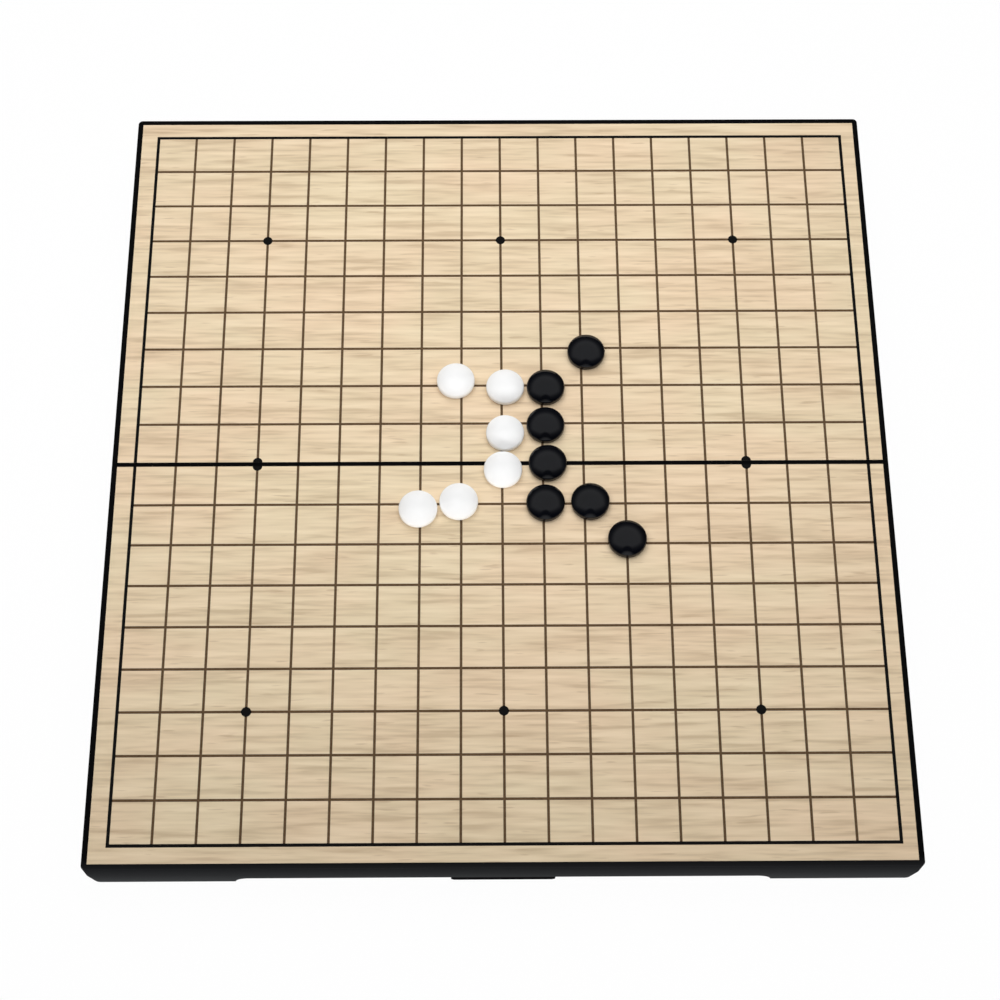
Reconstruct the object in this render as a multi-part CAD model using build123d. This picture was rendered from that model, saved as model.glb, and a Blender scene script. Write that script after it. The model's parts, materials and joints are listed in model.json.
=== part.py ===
from build123d import *
import math
import os

# Magnetic travel go set, opened flat, with a few stones of a game on it.
# Lengths are millimetres. X runs to the player's right, Y away from the player, Z up.
# The origin is on the table, under the middle of the seam between the two halves.
# The front half lies on the player's side of the seam, at negative Y.

# Driving sizes of the case
case_width = 370.0
half_depth = 195.0  # from the middle of the seam to the outer wall's face
case_height = 22.5
outer_wall = 2.6
seam_wall = 2.4
deck_thickness = 1.6
seam_clearance = 0.1  # each half stands this far back from the middle of the seam
seam_rim = 0.95  # width of the black rim beside the seam
top_corner_radius = 2.2
bottom_corner_radius = 5.0
bottom_corner_height = 10.0  # the corners widen from here down to the table
top_edge_radius = 0.5
inner_corner_radius = 2.0

# Parting line, which is stepped along the front and far walls
parting_height = 2.65  # height of the closed case's middle plane above the table
parting_gap = 0.2
foot_length = 65.6  # from the case's side to the inner end of a foot
tooth_flank_radius = 6.2
tooth_reach = 8.0  # how far the stepped part runs back along the side walls

# Ribs under the deck
rib_thickness = 1.2
rib_height = 2.5
long_rib_count = 3

# Latch tongue on the front wall, and its pocket in the far wall
tongue_width = 46.5
tongue_thickness = 1.2
tongue_setback = 0.15
tongue_corner = 1.3
tongue_table_clearance = 0.1
tongue_clearance = 0.35
snap_ridge_height = 0.25
snap_ridge_width = 0.8
snap_ridge_above_tip = 0.9
snap_groove_spare = 0.3
pocket_backing = 1.5
pocket_backing_top = 8.0
pocket_margin = 3.0  # how far the backing runs past each side of the pocket

# Hinge
hinge_end_distance = 55.0  # from the case's side to the middle of the nearest hinge
knuckle_length = 10.0
knuckle_radius = 1.5
knuckle_end_gap = 0.3
knuckle_running_gap = 0.3
pin_radius = 0.8
pin_running_clearance = 0.05
pin_end_inset = 0.5
pin_end_chamfer = 0.2

# Playing surface, from the deck upwards
plate_thickness = 0.3
sheet_thickness = 0.3
print_thickness = 0.05
plate_clearance = 0.2
sheet_clearance = 0.05

# Printed grid
line_count = 19
line_pitch_x = 19.4
line_pitch_y = 20.4
seam_extra = 0.7  # the first line stands this much more than a pitch from the seam
line_width = 1.2
border_width = 1.5
star_radius = 2.3
star_line_count = 6  # lines from the middle one out to the outer star points
print_offset_x = 0.7

# Stones
stone_spare = 1.1  # how much smaller a stone is than the tighter line pitch
stone_height = 6.3
stone_rim_top = 2.8
stone_base_inset = 0.7
stone_base_rise = 0.6
stone_shoulder_radius = 1.5
magnet_radius = 5.0
magnet_thickness = 2.0
magnet_clearance = 0.1

# Where the stones stand, in line pitches right of the middle line and away from the seam.
# They stand a little off the crossings, as a hand puts them down.
white_places = [(-1.14, 2.09), (0.09, 1.92), (0.08, 0.72), (0.02, -0.19), (-1.06, -0.97), (-2.05, -1.15)]
black_places = [(2.13, 2.85), (1.10, 1.91), (1.08, 0.92), (1.12, -0.03), (1.05, -1.01), (2.14, -0.98),
                (3.01, -1.92)]

# Values that follow from the driving sizes
outer_face = -half_depth
seam_face = -seam_clearance
recess_depth = plate_thickness + sheet_thickness + print_thickness
plate_bottom = case_height - recess_depth
sheet_bottom = plate_bottom + plate_thickness
print_bottom = sheet_bottom + sheet_thickness
deck_underside = plate_bottom - deck_thickness
closed_height = 2 * parting_height
tooth_rise = closed_height + parting_gap
rows_each_side = (line_count - 1) // 2
tooth_half_width = case_width / 2 - foot_length
outer_hinge_x = case_width / 2 - hinge_end_distance
hinge_stations = {"left": -outer_hinge_x, "middle": 0.0, "right": outer_hinge_x}
stone_radius = (min(line_pitch_x, line_pitch_y) - stone_spare) / 2
pocket_floor = half_depth - tongue_setback - tongue_thickness - tongue_clearance
pocket_top = closed_height - tongue_table_clearance + tongue_clearance
cut_margin = 1.0  # how far a cutting block runs past the solid that it cuts


def block(x_range, y_range, z_range):
    """A box between two values on each axis."""
    size = [high - low for low, high in (x_range, y_range, z_range)]
    middle = [(low + high) / 2 for low, high in (x_range, y_range, z_range)]
    return Pos(*middle) * Box(*size)


def half_outline(corner_radius, height):
    """The front half's outline from above, with its two outer corners rounded."""
    depth = half_depth - seam_clearance
    outline = Pos(0, seam_face - depth / 2) * Rectangle(case_width, depth)
    outer_corners = outline.vertices().sort_by(Axis.Y)[:2]
    return Pos(0, 0, height) * fillet(outer_corners, corner_radius)


def case_blank():
    """The front half's outer form, whose corners are rounded off more towards the table."""
    upper_outline = half_outline(top_corner_radius, bottom_corner_height)
    body = extrude(upper_outline, case_height - bottom_corner_height)
    body += loft([half_outline(bottom_corner_radius, 0), upper_outline], ruled=True)
    top_edges = body.faces().sort_by(Axis.Z)[-1].edges()
    rounded = top_edges.filter_by(lambda edge: edge.center().Y < seam_face - cut_margin)
    return fillet(rounded, top_edge_radius)


def case_hollow():
    """The storage space, open towards the table, between the walls and under the deck."""
    half_inside = case_width / 2 - outer_wall
    space = block((-half_inside, half_inside),
                  (outer_face + outer_wall, seam_face - seam_wall),
                  (-cut_margin, deck_underside))
    return fillet(space.edges().filter_by(Axis.Z), inner_corner_radius)


def board_recess():
    """The shallow seat for plate and sheet in the top of the deck."""
    half_inside = case_width / 2 - outer_wall
    return block((-half_inside, half_inside),
                 (outer_face + outer_wall, seam_face - seam_rim),
                 (plate_bottom, case_height + cut_margin))


def deck_ribs():
    """Stiffening ribs under the deck: long ones along Y and one across them along X."""
    half_inside = case_width / 2 - outer_wall
    inner_front = outer_face + outer_wall
    inner_seam = seam_face - seam_wall
    rib_z = (deck_underside - rib_height, deck_underside)
    spacing = 2 * half_inside / (long_rib_count + 1)
    ribs = []
    for rib in range(long_rib_count):
        middle = -half_inside + (rib + 1) * spacing
        ribs.append(block((middle - rib_thickness / 2, middle + rib_thickness / 2), (inner_front, inner_seam), rib_z))
    rib_y = (inner_front + inner_seam) / 2
    ribs.append(block((-half_inside, half_inside), (rib_y - rib_thickness / 2, rib_y + rib_thickness / 2), rib_z))
    return ribs


def tooth_face(grow):
    """Front view of the far wall's tooth as it stands in the closed case, grown by a gap."""
    radius = tooth_flank_radius + grow
    centre_z = closed_height - tooth_flank_radius
    foot_run = math.sqrt(tooth_flank_radius**2 - centre_z**2)
    centre_x = tooth_half_width - foot_run
    top = centre_z + radius
    low = -cut_margin
    low_x = centre_x + math.sqrt(radius**2 - (low - centre_z)**2)
    middle_angle = (math.pi / 2 + math.atan2(low - centre_z, low_x - centre_x)) / 2
    middle = (centre_x + radius * math.cos(middle_angle), centre_z + radius * math.sin(middle_angle))
    right = ThreePointArc((low_x, low), middle, (centre_x, top))
    left = ThreePointArc((-centre_x, top), (-middle[0], middle[1]), (-low_x, low))
    bottom = Line((-low_x, low), (low_x, low))
    roof = Line((centre_x, top), (-centre_x, top))
    return make_face([bottom, right, roof, left])


def tooth_prism(grow, y_range):
    """The tooth's front view, drawn out along Y between two places."""
    depth = y_range[1] - y_range[0]
    face = Plane.XZ * tooth_face(grow)
    return Pos(0, y_range[1], 0) * extrude(face, depth)


def front_parting_cut():
    """What is taken off the front half below its parting line."""
    step = outer_face + tooth_reach
    half_width = case_width / 2 + cut_margin
    sides = block((-half_width, half_width), (step, cut_margin), (-cut_margin, parting_height + parting_gap / 2))
    gap_for_tooth = tooth_prism(parting_gap, (outer_face - cut_margin, step + parting_gap))
    return sides + gap_for_tooth


def rear_parting_cut():
    """What is taken off the rear half below its parting line, so that the two halves mesh."""
    step = half_depth - tooth_reach
    half_width = case_width / 2 + cut_margin
    sides = block((-half_width, half_width), (-cut_margin, step), (-cut_margin, parting_height + parting_gap / 2))
    far = block((-half_width, half_width), (step - parting_gap, half_depth + cut_margin), (-cut_margin, tooth_rise))
    tooth = mirror(tooth_prism(0, (step, half_depth + cut_margin)), about=Plane.XY.offset(parting_height))
    return sides + (far - tooth)


def tongue_face(grow, tip_z, root_z):
    """Front view of the latch tongue, with slanted lower corners."""
    half = tongue_width / 2 + grow
    return make_face(Polyline((-half, root_z), (-half, tip_z + tongue_corner), (-half + tongue_corner, tip_z),
                              (half - tongue_corner, tip_z), (half, tip_z + tongue_corner), (half, root_z),
                              close=True))


def latch_tongue():
    """The tongue that hangs from the front wall and covers the far wall's tooth when closed."""
    front = outer_face + tongue_setback
    back = front + tongue_thickness
    tip_z = tongue_table_clearance
    root_z = tooth_rise + tongue_thickness
    tongue = Pos(0, back, 0) * extrude(Plane.XZ * tongue_face(0, tip_z, root_z), tongue_thickness)
    half_ridge = tongue_width / 2 - 2 * tongue_corner
    ridge_low = tip_z + snap_ridge_above_tip
    ridge = block((-half_ridge, half_ridge), (front + tongue_thickness / 2, back + snap_ridge_height),
                  (ridge_low, ridge_low + snap_ridge_width))
    return tongue + ridge


def latch_pocket_backing():
    """Extra wall behind the pocket, inside the far wall."""
    half = tongue_width / 2 + tongue_clearance + pocket_margin
    return block((-half, half), (pocket_floor - pocket_backing, half_depth - outer_wall / 2),
                 (0, pocket_backing_top))


def latch_pocket_cut():
    """The pocket in the far wall's outer face that takes the tongue, with a groove for its ridge."""
    half = tongue_width / 2 + tongue_clearance
    pocket = block((-half, half), (pocket_floor, half_depth + cut_margin), (-cut_margin, pocket_top))
    half_groove = tongue_width / 2 - 2 * tongue_corner + tongue_clearance
    ridge_middle = closed_height - tongue_table_clearance - snap_ridge_above_tip - snap_ridge_width / 2
    half_height = snap_ridge_width / 2 + snap_groove_spare
    groove = block((-half_groove, half_groove), (pocket_floor - snap_ridge_height, pocket_floor + cut_margin / 2),
                   (ridge_middle - half_height, ridge_middle + half_height))
    return pocket + groove


def along_x(radius, x_range):
    """A round bar along the hinge axis between two places."""
    length = x_range[1] - x_range[0]
    middle = (x_range[0] + x_range[1]) / 2
    return Pos(middle, 0, parting_height) * Rot(0, 90, 0) * Cylinder(radius, length)


def knuckle_ranges(station):
    """The places along X of one hinge's three knuckles: front half, rear half, front half."""
    middles = [station + place * (knuckle_length + knuckle_end_gap) for place in (-1, 0, 1)]
    return [(middle - knuckle_length / 2, middle + knuckle_length / 2) for middle in middles]


def with_hinge(case, owns_middle):
    """Adds this half's knuckles to its seam wall and makes room for the other half's."""
    for station in hinge_stations.values():
        left, middle, right = knuckle_ranges(station)
        own = [middle] if owns_middle else [left, right]
        other = [left, right] if owns_middle else [middle]
        for x_range in other:
            room = (x_range[0] - knuckle_end_gap, x_range[1] + knuckle_end_gap)
            case -= along_x(knuckle_radius + knuckle_running_gap, room)
        for x_range in own:
            case += along_x(knuckle_radius, x_range)
        bore = (left[0] - knuckle_end_gap, right[1] + knuckle_end_gap)
        case -= along_x(pin_radius + pin_running_clearance, bore)
    return case


def case_shell():
    """The moulding that both halves share before their parting lines and hinges."""
    shell = case_blank() - case_hollow() - board_recess()
    for rib in deck_ribs():
        shell += rib
    return shell


def front_case(shell):
    """The player's half, with two feet, a raised middle and the latch tongue on its front wall."""
    case = shell - front_parting_cut()
    case += latch_tongue()
    return with_hinge(case, owns_middle=False)


def rear_case(shell):
    """The far half, whose far wall meshes with the front wall when the case is closed."""
    case = mirror(shell, about=Plane.XZ)
    case += latch_pocket_backing()
    case -= rear_parting_cut()
    case -= latch_pocket_cut()
    return with_hinge(case, owns_middle=True)


def hinge_pin(station):
    """A steel pin through the three knuckles of one hinge."""
    left, _, right = knuckle_ranges(station)
    pin = along_x(pin_radius, (left[0] + pin_end_inset, right[1] - pin_end_inset))
    return chamfer(pin.edges().filter_by(GeomType.CIRCLE), pin_end_chamfer)


def recess_layer(bottom, thickness, clearance):
    """A flat layer that fills the front half's recess, less a clearance."""
    half_inside = case_width / 2 - outer_wall - clearance
    return block((-half_inside, half_inside),
                 (outer_face + outer_wall + clearance, seam_face - seam_rim - clearance),
                 (bottom, bottom + thickness))


def column_x(column):
    """Where a vertical line or a stone's column lies along X."""
    return print_offset_x + column * line_pitch_x


def row_y(row):
    """Where a row lies along Y: row 0 is the seam, and the rows near it stand a little wider."""
    step = min(abs(row), 1.0)
    return math.copysign(abs(row) * line_pitch_y + step * seam_extra, row)


def grid_print():
    """The front half's printed lines, border and star points, as one thin layer of ink."""
    half_grid = rows_each_side * line_pitch_x
    front_line = row_y(-rows_each_side)
    ink = []
    for column in range(-rows_each_side, rows_each_side + 1):
        width = border_width if abs(column) == rows_each_side else line_width
        ink.append(Pos(column_x(column), front_line / 2) * Rectangle(width, abs(front_line)))
    for row in range(1, rows_each_side + 1):
        width = border_width if row == rows_each_side else line_width
        ink.append(Pos(print_offset_x, row_y(-row)) * Rectangle(2 * half_grid + border_width, width))
    for column in (-star_line_count, 0, star_line_count):
        ink.append(Pos(column_x(column), row_y(-star_line_count)) * Circle(star_radius))
        ink.append(Pos(column_x(column), seam_face - seam_rim) * Circle(star_radius))
    outline = Sketch() + ink
    sheet_depth = half_depth - outer_wall - seam_clearance - seam_rim
    sheet_middle = outer_face + outer_wall + sheet_depth / 2
    on_sheet = Pos(0, sheet_middle) * Rectangle(case_width - 2 * outer_wall - 2 * sheet_clearance,
                                                sheet_depth - 2 * sheet_clearance)
    return Pos(0, 0, print_bottom) * extrude(outline & on_sheet, print_thickness)


def stone_shell():
    """A stone with a flat base, an upright rim and a domed top, and a pocket for its magnet."""
    rise = stone_height - stone_rim_top
    dome_radius = (stone_radius**2 + rise**2) / (2 * rise)
    half_angle = math.asin(stone_radius / dome_radius) / 2
    dome_centre = stone_height - dome_radius
    on_dome = (dome_radius * math.sin(half_angle), dome_centre + dome_radius * math.cos(half_angle))
    base = Line((0, 0), (stone_radius - stone_base_inset, 0))
    base_edge = Line((stone_radius - stone_base_inset, 0), (stone_radius, stone_base_rise))
    rim = Line((stone_radius, stone_base_rise), (stone_radius, stone_rim_top))
    dome = ThreePointArc((stone_radius, stone_rim_top), on_dome, (0, stone_height))
    axis = Line((0, stone_height), (0, 0))
    profile = make_face([base, base_edge, rim, dome, axis])
    shoulder = profile.vertices().sort_by_distance((stone_radius, stone_rim_top))[0]
    profile = fillet(shoulder, stone_shoulder_radius)
    body = revolve(Plane.XZ * profile, Axis.Z)
    pocket_depth = magnet_thickness + 2 * magnet_clearance
    pocket = Cylinder(magnet_radius + magnet_clearance, 2 * pocket_depth)
    return body - pocket


def stone_magnet():
    """The magnet in a stone's pocket, just inside its base."""
    magnet = Cylinder(magnet_radius, magnet_thickness)
    return Pos(0, 0, magnet_clearance + magnet_thickness / 2) * magnet


def stones(colour, places):
    """The shells and magnets of one colour's stones, by name."""
    shell = stone_shell()
    magnet = stone_magnet()
    pieces = {}
    for number, (column, row) in enumerate(places, start=1):
        stand = Pos(column_x(column), row_y(row), case_height)
        pieces[f"{colour}_stone_{number}"] = stand * shell
        pieces[f"{colour}_stone_magnet_{number}"] = stand * magnet
    return pieces


def build_pieces():
    """Every piece of the set, by name."""
    shell = case_shell()
    layers = {
        "steel_plate": recess_layer(plate_bottom, plate_thickness, plate_clearance),
        "board_sheet": recess_layer(sheet_bottom, sheet_thickness, sheet_clearance),
        "grid_print": grid_print(),
    }
    pieces = {"front_case": front_case(shell), "rear_case": rear_case(shell)}
    for name, layer in layers.items():
        pieces[f"front_{name}"] = layer
        pieces[f"rear_{name}"] = mirror(layer, about=Plane.XZ)
    for side, station in hinge_stations.items():
        pieces[f"hinge_pin_{side}"] = hinge_pin(station)
    pieces.update(stones("white", white_places))
    pieces.update(stones("black", black_places))
    return pieces


os.makedirs("parts", exist_ok=True)
for node, shape in build_pieces().items():
    export_step(shape, f"parts/{node}.step")
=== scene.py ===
import json
import math

import bpy
from mathutils import Matrix, Vector


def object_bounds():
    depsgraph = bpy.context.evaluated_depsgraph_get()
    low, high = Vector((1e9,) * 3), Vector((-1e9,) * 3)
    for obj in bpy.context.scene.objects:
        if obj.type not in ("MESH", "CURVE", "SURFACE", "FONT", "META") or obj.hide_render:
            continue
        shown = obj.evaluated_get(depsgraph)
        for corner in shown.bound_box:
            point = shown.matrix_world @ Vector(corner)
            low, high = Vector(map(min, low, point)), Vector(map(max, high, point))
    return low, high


# Magnetic travel go set, opened flat for play. Lengths are metres unless a name says otherwise.
# X runs to the player's right, Y away from the player and Z up.
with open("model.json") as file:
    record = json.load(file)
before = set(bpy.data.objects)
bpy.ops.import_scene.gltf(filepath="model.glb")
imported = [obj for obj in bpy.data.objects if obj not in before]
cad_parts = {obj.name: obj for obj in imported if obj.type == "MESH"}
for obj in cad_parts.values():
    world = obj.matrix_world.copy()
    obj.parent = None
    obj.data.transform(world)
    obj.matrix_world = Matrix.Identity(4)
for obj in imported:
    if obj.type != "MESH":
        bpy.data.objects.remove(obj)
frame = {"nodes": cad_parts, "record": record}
nodes = frame["nodes"]
cad_low, cad_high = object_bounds()

# Camera, as the photograph was taken: from the player's side, high above the board
camera_pitch = math.radians(66.25)
camera_turn = math.radians(0.93)
camera_roll = math.radians(-0.615)
camera_distance = 0.9514
camera_aim = Vector((-0.0004, -0.0191, 0.0225))
camera_lens_mm = 72.475
sensor_width_mm = 36.0

# The printed grid. The reach of the near-black ink is a little wider than the border and the
# star points are, so that it covers them to their edges.
line_pitch_x = 0.0194
line_pitch_y = 0.0204
seam_extra = 0.0007  # the rows stand this much further from the seam than their pitches
print_shift = 0.0007  # the grid's middle line lies this far to the right
lines_to_border = 9
lines_to_star = 6
border_reach = 0.0008
star_reach = 0.0024
seam_star_y = 0.0010  # the star points on the seam are half discs, one in each half
border_x = lines_to_border * line_pitch_x - border_reach
border_y = lines_to_border * line_pitch_y + seam_extra - border_reach
star_x = lines_to_star * line_pitch_x
star_y = lines_to_star * line_pitch_y + seam_extra

# The case: its front wall; the depth of the painted sheen on the rim's front edge; the heights between
# which its walls are painted darker away from the table, a painted reflection of the white table at
# their foot; and the box in which the latch tongue is painted black as painted shade
front_y = cad_low[1]
rim_painted_sheen_depth = 0.0045
foot_height = 0.0015
case_height = max(corner[2] for corner in nodes["front_case"].bound_box)
tongue_half_width = 0.0234
tongue_top = 0.0054
tongue_back_y = -0.1930

# The floor
floor_half_size = 3.0
backdrop_share = 0.98  # how much of the white below the horizon the floor lets the camera see


def add_camera():
    """A camera that looks down at the board, a little in front of its middle."""
    turn = Matrix.Rotation(-camera_turn, 3, "Z")
    right = turn @ Vector((1, 0, 0))
    forward = turn @ Vector((0, math.cos(camera_pitch), -math.sin(camera_pitch)))
    up = turn @ Vector((0, math.sin(camera_pitch), math.cos(camera_pitch)))
    cosine = math.cos(camera_roll)
    sine = math.sin(camera_roll)
    rolled_right = cosine * right - sine * up
    rolled_up = sine * right + cosine * up
    facing = Matrix((rolled_right, rolled_up, -forward)).transposed()
    place = camera_aim - camera_distance * forward
    data = bpy.data.cameras.new("camera")
    data.lens = camera_lens_mm
    data.sensor_width = sensor_width_mm
    data.clip_start = 0.01
    data.clip_end = 50.0
    camera = bpy.data.objects.new("camera", data)
    camera.matrix_world = Matrix.Translation(place) @ facing.to_4x4()
    bpy.context.scene.collection.objects.link(camera)
    bpy.context.scene.camera = camera


class Nodes:
    """Short calls for building the node tree of a material or of the world."""

    def __init__(self, block):
        block.use_nodes = True
        self.block = block
        self.tree = block.node_tree
        self.shader = self.tree.nodes.get("Principled BSDF")

    def add(self, kind, **settings):
        """A new node of a kind, with its settings."""
        node = self.tree.nodes.new(kind)
        for key, value in settings.items():
            setattr(node, key, value)
        return node

    def link(self, source, target):
        """Links an output to an input."""
        self.tree.links.new(source, target)

    def feed(self, socket, value):
        """Links an input to an output, or sets it to a number, a vector or a colour."""
        if isinstance(value, bpy.types.NodeSocket):
            self.link(value, socket)
        elif isinstance(value, tuple) and len(value) < len(socket.default_value):
            socket.default_value = (*value, 1.0)
        else:
            socket.default_value = value

    def set(self, **values):
        """Feeds the shader's inputs, whose names are written with low lines for spaces."""
        for name, value in values.items():
            self.feed(self.shader.inputs[name.replace("_", " ")], value)

    def axes(self):
        """The object's own X, Y and Z as three values in metres."""
        coordinates = self.add("ShaderNodeTexCoord")
        separate = self.add("ShaderNodeSeparateXYZ")
        self.link(coordinates.outputs["Object"], separate.inputs[0])
        return separate.outputs["X"], separate.outputs["Y"], separate.outputs["Z"]

    def noise(self, scale, stretch=(1, 1, 1), detail=2.0, roughness=0.5, distortion=0.0):
        """A noise pattern over the object, stretched along the axes with a small factor."""
        coordinates = self.add("ShaderNodeTexCoord")
        mapping = self.add("ShaderNodeMapping")
        mapping.inputs["Scale"].default_value = stretch
        self.link(coordinates.outputs["Object"], mapping.inputs["Vector"])
        noise = self.add("ShaderNodeTexNoise")
        noise.inputs["Scale"].default_value = scale
        noise.inputs["Detail"].default_value = detail
        noise.inputs["Roughness"].default_value = roughness
        noise.inputs["Distortion"].default_value = distortion
        self.link(mapping.outputs["Vector"], noise.inputs["Vector"])
        return noise.outputs["Fac"]

    def ramp(self, value, stops):
        """Maps a value through stops, each a place and a grey level or a colour."""
        ramp = self.add("ShaderNodeValToRGB")
        elements = ramp.color_ramp.elements
        while len(elements) < len(stops):
            elements.new(0.5)
        for element, (place, tone) in zip(elements, stops):
            colour = tone if isinstance(tone, tuple) else (tone, tone, tone)
            element.position = place
            element.color = (*colour, 1.0)
        self.link(value, ramp.inputs["Fac"])
        return ramp.outputs["Color"]

    def mix(self, factor, first, second, blend="MIX"):
        """Mixes two colours by a factor."""
        mix = self.add("ShaderNodeMix", data_type="RGBA", blend_type=blend)
        self.feed(mix.inputs[0], factor)
        self.feed(mix.inputs[6], first)
        self.feed(mix.inputs[7], second)
        return mix.outputs[2]

    def map_range(self, value, low, high, low_input=0.0, high_input=1.0):
        """Maps a value from one range, 0 to 1 unless given, to another."""
        node = self.add("ShaderNodeMapRange")
        node.inputs["From Min"].default_value = low_input
        node.inputs["From Max"].default_value = high_input
        node.inputs["To Min"].default_value = low
        node.inputs["To Max"].default_value = high
        self.link(value, node.inputs["Value"])
        return node.outputs["Result"]

    def math(self, operation, first, second=0.0):
        """Works out or compares two values."""
        node = self.add("ShaderNodeMath", operation=operation)
        self.feed(node.inputs[0], first)
        self.feed(node.inputs[1], second)
        return node.outputs[0]

    def largest(self, *values):
        """The largest of several values: with marks of 0 and 1, whether any of them is set."""
        result = values[0]
        for value in values[1:]:
            result = self.math("MAXIMUM", result, value)
        return result

    def distance(self, value, place):
        """How far a value lies from a place, to either side."""
        return self.math("ABSOLUTE", self.math("SUBTRACT", value, place))

    def along(self, vector, axis):
        """How far a vector reaches along an axis."""
        node = self.add("ShaderNodeVectorMath", operation="DOT_PRODUCT")
        self.feed(node.inputs[0], vector)
        self.feed(node.inputs[1], axis)
        return node.outputs["Value"]

    def bump(self, height, depth):
        """Bumps the surface by a height pattern, up to a depth in metres."""
        bump = self.add("ShaderNodeBump")
        bump.inputs["Distance"].default_value = depth
        self.link(height, bump.inputs["Height"])
        self.link(bump.outputs["Normal"], self.shader.inputs["Normal"])


def new_material(name):
    """An empty material, ready for its nodes."""
    return Nodes(bpy.data.materials.new(name))


def case_plastic():
    """Black moulded satin plastic with a blacker rim and random dust; walls painted paler towards the
    table (painted reflection), a painted sheen on the rim's front edge and a latch tongue painted black
    (painted shade).
    """
    wall_foot_painted_reflection = (0.0330, 0.0345, 0.0360)
    wall_middle_painted_reflection = (0.0148, 0.0155, 0.0165)
    wall_top = (0.0050, 0.0054, 0.0062)
    rim_black = (0.0030, 0.0031, 0.0034)
    rim_front_painted_sheen = (0.0165, 0.0168, 0.0180)
    dust_grey = (0.020, 0.020, 0.020)
    tongue_painted_shade = (0.0034, 0.0034, 0.0038)
    rim_start = 0.985
    most_dust = 0.12
    n = new_material("case_plastic")
    x, y, z = n.axes()
    cloud = n.noise(40.0, detail=3.0)
    height = n.map_range(z, 0.0, 1.0, low_input=foot_height, high_input=case_height)
    # Painted light: the walls are painted paler towards the table, a painted reflection of the white
    # table at their foot.
    wall = n.ramp(height, [(0.0, wall_foot_painted_reflection), (0.5, wall_middle_painted_reflection), (0.98, wall_top)])
    # Painted highlight: the rim is painted paler towards its front edge, a painted sheen.
    forward = n.map_range(y, 1.0, 0.0, low_input=front_y, high_input=front_y + rim_painted_sheen_depth)
    rim = n.mix(forward, rim_black, rim_front_painted_sheen)
    moulded = n.mix(n.math("GREATER_THAN", height, rim_start), wall, rim)
    dusty = n.mix(n.map_range(cloud, 0.0, most_dust), moulded, dust_grey)
    # Painted shade: inside the box of the latch tongue the colour is painted near black, standing in for
    # the shade under the wall's edge.
    beside_tongue = n.math("GREATER_THAN", n.distance(x, 0.0), tongue_half_width)
    above_tongue = n.math("GREATER_THAN", z, tongue_top)
    behind_tongue = n.math("GREATER_THAN", y, tongue_back_y)
    off_tongue = n.largest(beside_tongue, above_tongue, behind_tongue)
    satin = n.map_range(cloud, 0.50, 0.58)
    dull_tongue = n.math("SUBTRACT", 1.0, off_tongue)
    n.set(Base_Color=n.mix(off_tongue, tongue_painted_shade, dusty),
          Roughness=n.largest(satin, dull_tongue),
          Specular_IOR_Level=0.002)
    n.bump(n.noise(2600.0), 0.000012)
    return n.block


def wood_print():
    """A printed pale wood pattern under a satin film, with its grain along the board's width."""
    dark_grain = (0.666, 0.518, 0.346)
    plain_wood = (0.809, 0.648, 0.444)
    pale_grain = (0.903, 0.736, 0.520)
    greenish_tint = (0.978, 1.0, 0.985)
    pinkish_tint = (1.0, 0.966, 0.960)
    pore_brown = (0.490, 0.340, 0.210)
    waves_share = 0.55
    n = new_material("wood_print")
    patches = n.noise(14.0, stretch=(1.0, 2.2, 1.0))
    waves = n.noise(300.0, stretch=(0.07, 1.0, 1.0), detail=1.0, roughness=0.45, distortion=0.10)
    streaks = n.noise(620.0, stretch=(0.08, 1.0, 1.0), detail=1.5, distortion=0.08)
    pores = n.noise(700.0, stretch=(0.10, 1.0, 1.0), detail=1.0)
    grain = n.math("ADD", n.math("MULTIPLY", waves, waves_share),
                   n.math("MULTIPLY", streaks, 1.0 - waves_share))
    wood = n.ramp(grain, [(0.34, dark_grain), (0.48, plain_wood), (0.66, pale_grain)])
    tint = n.ramp(patches, [(0.36, greenish_tint), (0.64, pinkish_tint)])
    tinted = n.mix(1.0, wood, tint, "MULTIPLY")
    pore_share = n.ramp(pores, [(0.24, 0.40), (0.33, 0.0)])
    n.set(Base_Color=n.mix(pore_share, tinted, pore_brown),
          Roughness=n.map_range(patches, 0.42, 0.50),
          Specular_IOR_Level=0.1)
    return n.block


def grid_ink():
    """Printing ink: brown in the thin lines, near black in the border and the star points."""
    dark_brown = (0.098, 0.059, 0.030)
    pale_brown = (0.138, 0.084, 0.045)
    near_black = (0.0035, 0.0032, 0.0032)
    n = new_material("grid_ink")
    x, y, _ = n.axes()
    across = n.distance(x, print_shift)
    along = n.distance(y, 0.0)
    border = n.largest(n.math("GREATER_THAN", across, border_x), n.math("GREATER_THAN", along, border_y))
    from_column = n.math("MINIMUM", across, n.distance(across, star_x))
    from_row = n.math("MINIMUM", n.distance(along, seam_star_y), n.distance(along, star_y))
    squares = n.math("ADD", n.math("POWER", from_column, 2.0), n.math("POWER", from_row, 2.0))
    star = n.math("LESS_THAN", n.math("SQRT", squares), star_reach)
    thin = n.ramp(n.noise(900.0), [(0.35, dark_brown), (0.70, pale_brown)])
    n.set(Base_Color=n.mix(n.largest(border, star), thin, near_black),
          Roughness=0.5,
          Specular_IOR_Level=0.1)
    return n.block


def white_stone():
    """White moulded plastic with a soft gloss, which light enters a little."""
    n = new_material("white_stone")
    cloud = n.noise(260.0)
    n.set(Base_Color=n.ramp(cloud, [(0.3, (0.950, 0.950, 0.946)), (0.7, (0.965, 0.965, 0.961))]),
          Roughness=n.map_range(cloud, 0.16, 0.22),
          Specular_IOR_Level=0.28,
          Subsurface_Weight=0.4,
          Subsurface_Radius=(1.0, 1.0, 1.0),
          Subsurface_Scale=0.002)
    return n.block


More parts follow.
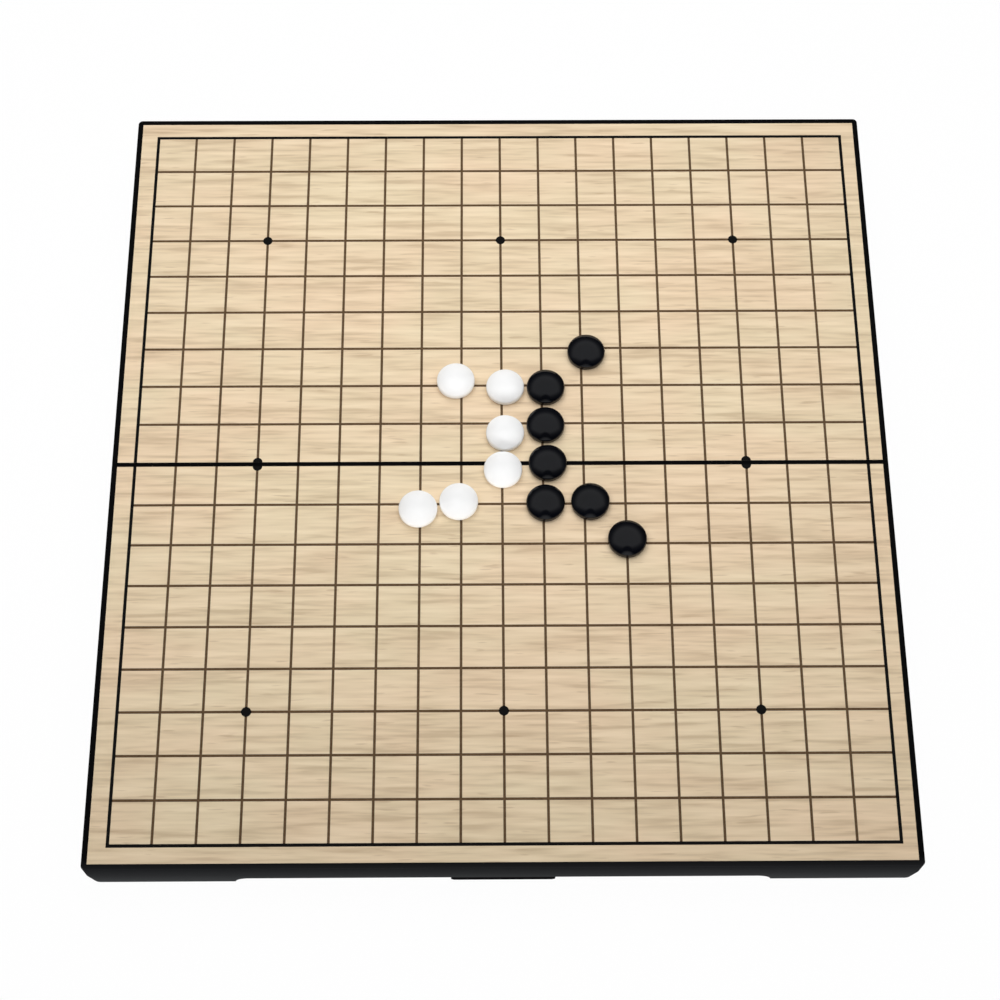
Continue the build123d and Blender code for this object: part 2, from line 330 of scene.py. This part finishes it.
def black_stone():
    """Black moulded plastic, polished but not mirror-like."""
    n = new_material("black_stone")
    cloud = n.noise(260.0)
    n.set(Base_Color=n.ramp(cloud, [(0.3, (0.0009, 0.0012, 0.0028)), (0.7, (0.0015, 0.0019, 0.0038))]),
          Roughness=n.map_range(cloud, 0.08, 0.11),
          Specular_IOR_Level=0.36)
    return n.block


def rolled_steel(name):
    """Bare steel with fine rolling marks along X."""
    n = new_material(name)
    marks = n.noise(900.0, stretch=(0.05, 1, 1), detail=3.0)
    n.set(Base_Color=n.ramp(marks, [(0.3, (0.46, 0.46, 0.47)), (0.7, (0.56, 0.56, 0.57))]),
          Roughness=n.map_range(marks, 0.28, 0.42),
          Metallic=1.0)
    return n.block


def magnet_ferrite():
    """Dark grey pressed ferrite with a fine sandy surface."""
    n = new_material("magnet_ferrite")
    sand = n.noise(2200.0, detail=3.0)
    n.set(Base_Color=n.ramp(sand, [(0.3, (0.045, 0.045, 0.048)), (0.7, (0.075, 0.075, 0.08))]),
          Roughness=0.72)
    n.bump(sand, 0.00002)
    return n.block


def dress_nodes():
    """Gives every CAD piece the finish of what it is made of."""
    finishes = {
        "case_plastic": case_plastic(),
        "board_sheet": wood_print(),
        "grid_ink": grid_ink(),
        "white_stone": white_stone(),
        "black_stone": black_stone(),
        "plate_steel": rolled_steel("plate_steel"),
        "pin_steel": rolled_steel("pin_steel"),
        "magnet": magnet_ferrite(),
    }
    for part in frame["record"]["subparts"]:
        piece = nodes[part["node"]]
        piece.data.materials.clear()
        piece.data.materials.append(finishes[part["material_slot"]])


def floor_white():
    """White paint that lets the camera see little more of the floor than the object's shadow."""
    n = new_material("floor_white")
    n.set(Base_Color=(0.95, 0.95, 0.95), Roughness=0.9)
    path = n.add("ShaderNodeLightPath").outputs
    watched = n.largest(path["Is Camera Ray"], path["Is Glossy Ray"], path["Is Transmission Ray"])
    clear = n.add("ShaderNodeBsdfTransparent")
    seen = n.add("ShaderNodeMixShader")
    n.link(n.math("MULTIPLY", watched, backdrop_share), seen.inputs["Fac"])
    n.link(n.shader.outputs[0], seen.inputs[1])
    n.link(clear.outputs[0], seen.inputs[2])
    n.link(seen.outputs[0], n.tree.nodes["Material Output"].inputs["Surface"])
    return n.block


def add_floor():
    """A square table top under the object."""
    reach = floor_half_size
    corners = [(-reach, -reach, 0), (reach, -reach, 0), (reach, reach, 0), (-reach, reach, 0)]
    mesh = bpy.data.meshes.new("floor")
    mesh.from_pydata(corners, [], [(0, 1, 2, 3)])
    mesh.materials.append(floor_white())
    floor = bpy.data.objects.new("floor", mesh)
    bpy.context.scene.collection.objects.link(floor)


def add_world():
    """A room that is bright overhead, dim towards the horizon and white below it.

    The player leans dark over the board, with a bright wall low behind them.
    """
    player_grey = (0.05, 0.05, 0.05)
    wall_white = (0.8, 0.8, 0.8)
    backdrop_white = (1.0, 1.0, 1.0)
    to_player = (0, -0.64, 0.77)
    to_wall = (0, -0.93, 0.37)
    world = bpy.data.worlds.new("world")
    bpy.context.scene.world = world
    n = Nodes(world)
    direction = n.add("ShaderNodeTexCoord").outputs["Generated"]
    # The light falls off higher up on the player's side than on the far side.
    far_height = n.along(direction, (0, 0.1, 1))
    near_height = n.along(direction, (0, 0.7, 1))
    height = n.math("MINIMUM", far_height, near_height)
    ceiling = n.ramp(height, [(0.0, 0.02), (0.22, 0.03), (0.44, 0.17), (0.66, 0.62)])
    player = n.map_range(n.along(direction, to_player), 0.0, 0.9, low_input=0.93, high_input=0.97)
    wall = n.map_range(n.along(direction, to_wall), 0.0, 1.0, low_input=0.88, high_input=0.95)
    room = n.mix(wall, n.mix(player, ceiling, player_grey), wall_white)
    below = n.math("LESS_THAN", n.along(direction, (0, 0, 1)), 0.0)
    seen = n.mix(below, room, backdrop_white)
    n.link(seen, n.tree.nodes["Background"].inputs["Color"])


def add_lamp(name, place, aim, size, power):
    """A broad soft lamp that points at a place and isn't mirrored in gloss."""
    data = bpy.data.lights.new(name, "AREA")
    data.shape = "RECTANGLE"
    data.size, data.size_y = size
    data.energy = power
    direction = Vector(aim) - Vector(place)
    lamp = bpy.data.objects.new(name, data)
    lamp.rotation_mode = "QUATERNION"
    lamp.rotation_quaternion = direction.to_track_quat("-Z", "Y")
    lamp.location = place
    lamp.visible_camera = False
    lamp.visible_glossy = False
    bpy.context.scene.collection.objects.link(lamp)


dress_nodes()
add_camera()
add_floor()
add_world()
add_lamp("top", place=(0, 0.06, 0.36), aim=(0, 0.06, 0), size=(0.7, 0.25), power=0.81)
add_lamp("key", place=(-0.07, 0.55, 0.50), aim=(0, 0.05, 0), size=(0.35, 0.35), power=1.18)
add_lamp("fill", place=(0, -1.20, 0.08), aim=(0, 0, 0), size=(0.9, 0.12), power=9.3)
bpy.context.scene.view_settings.view_transform = "Standard"
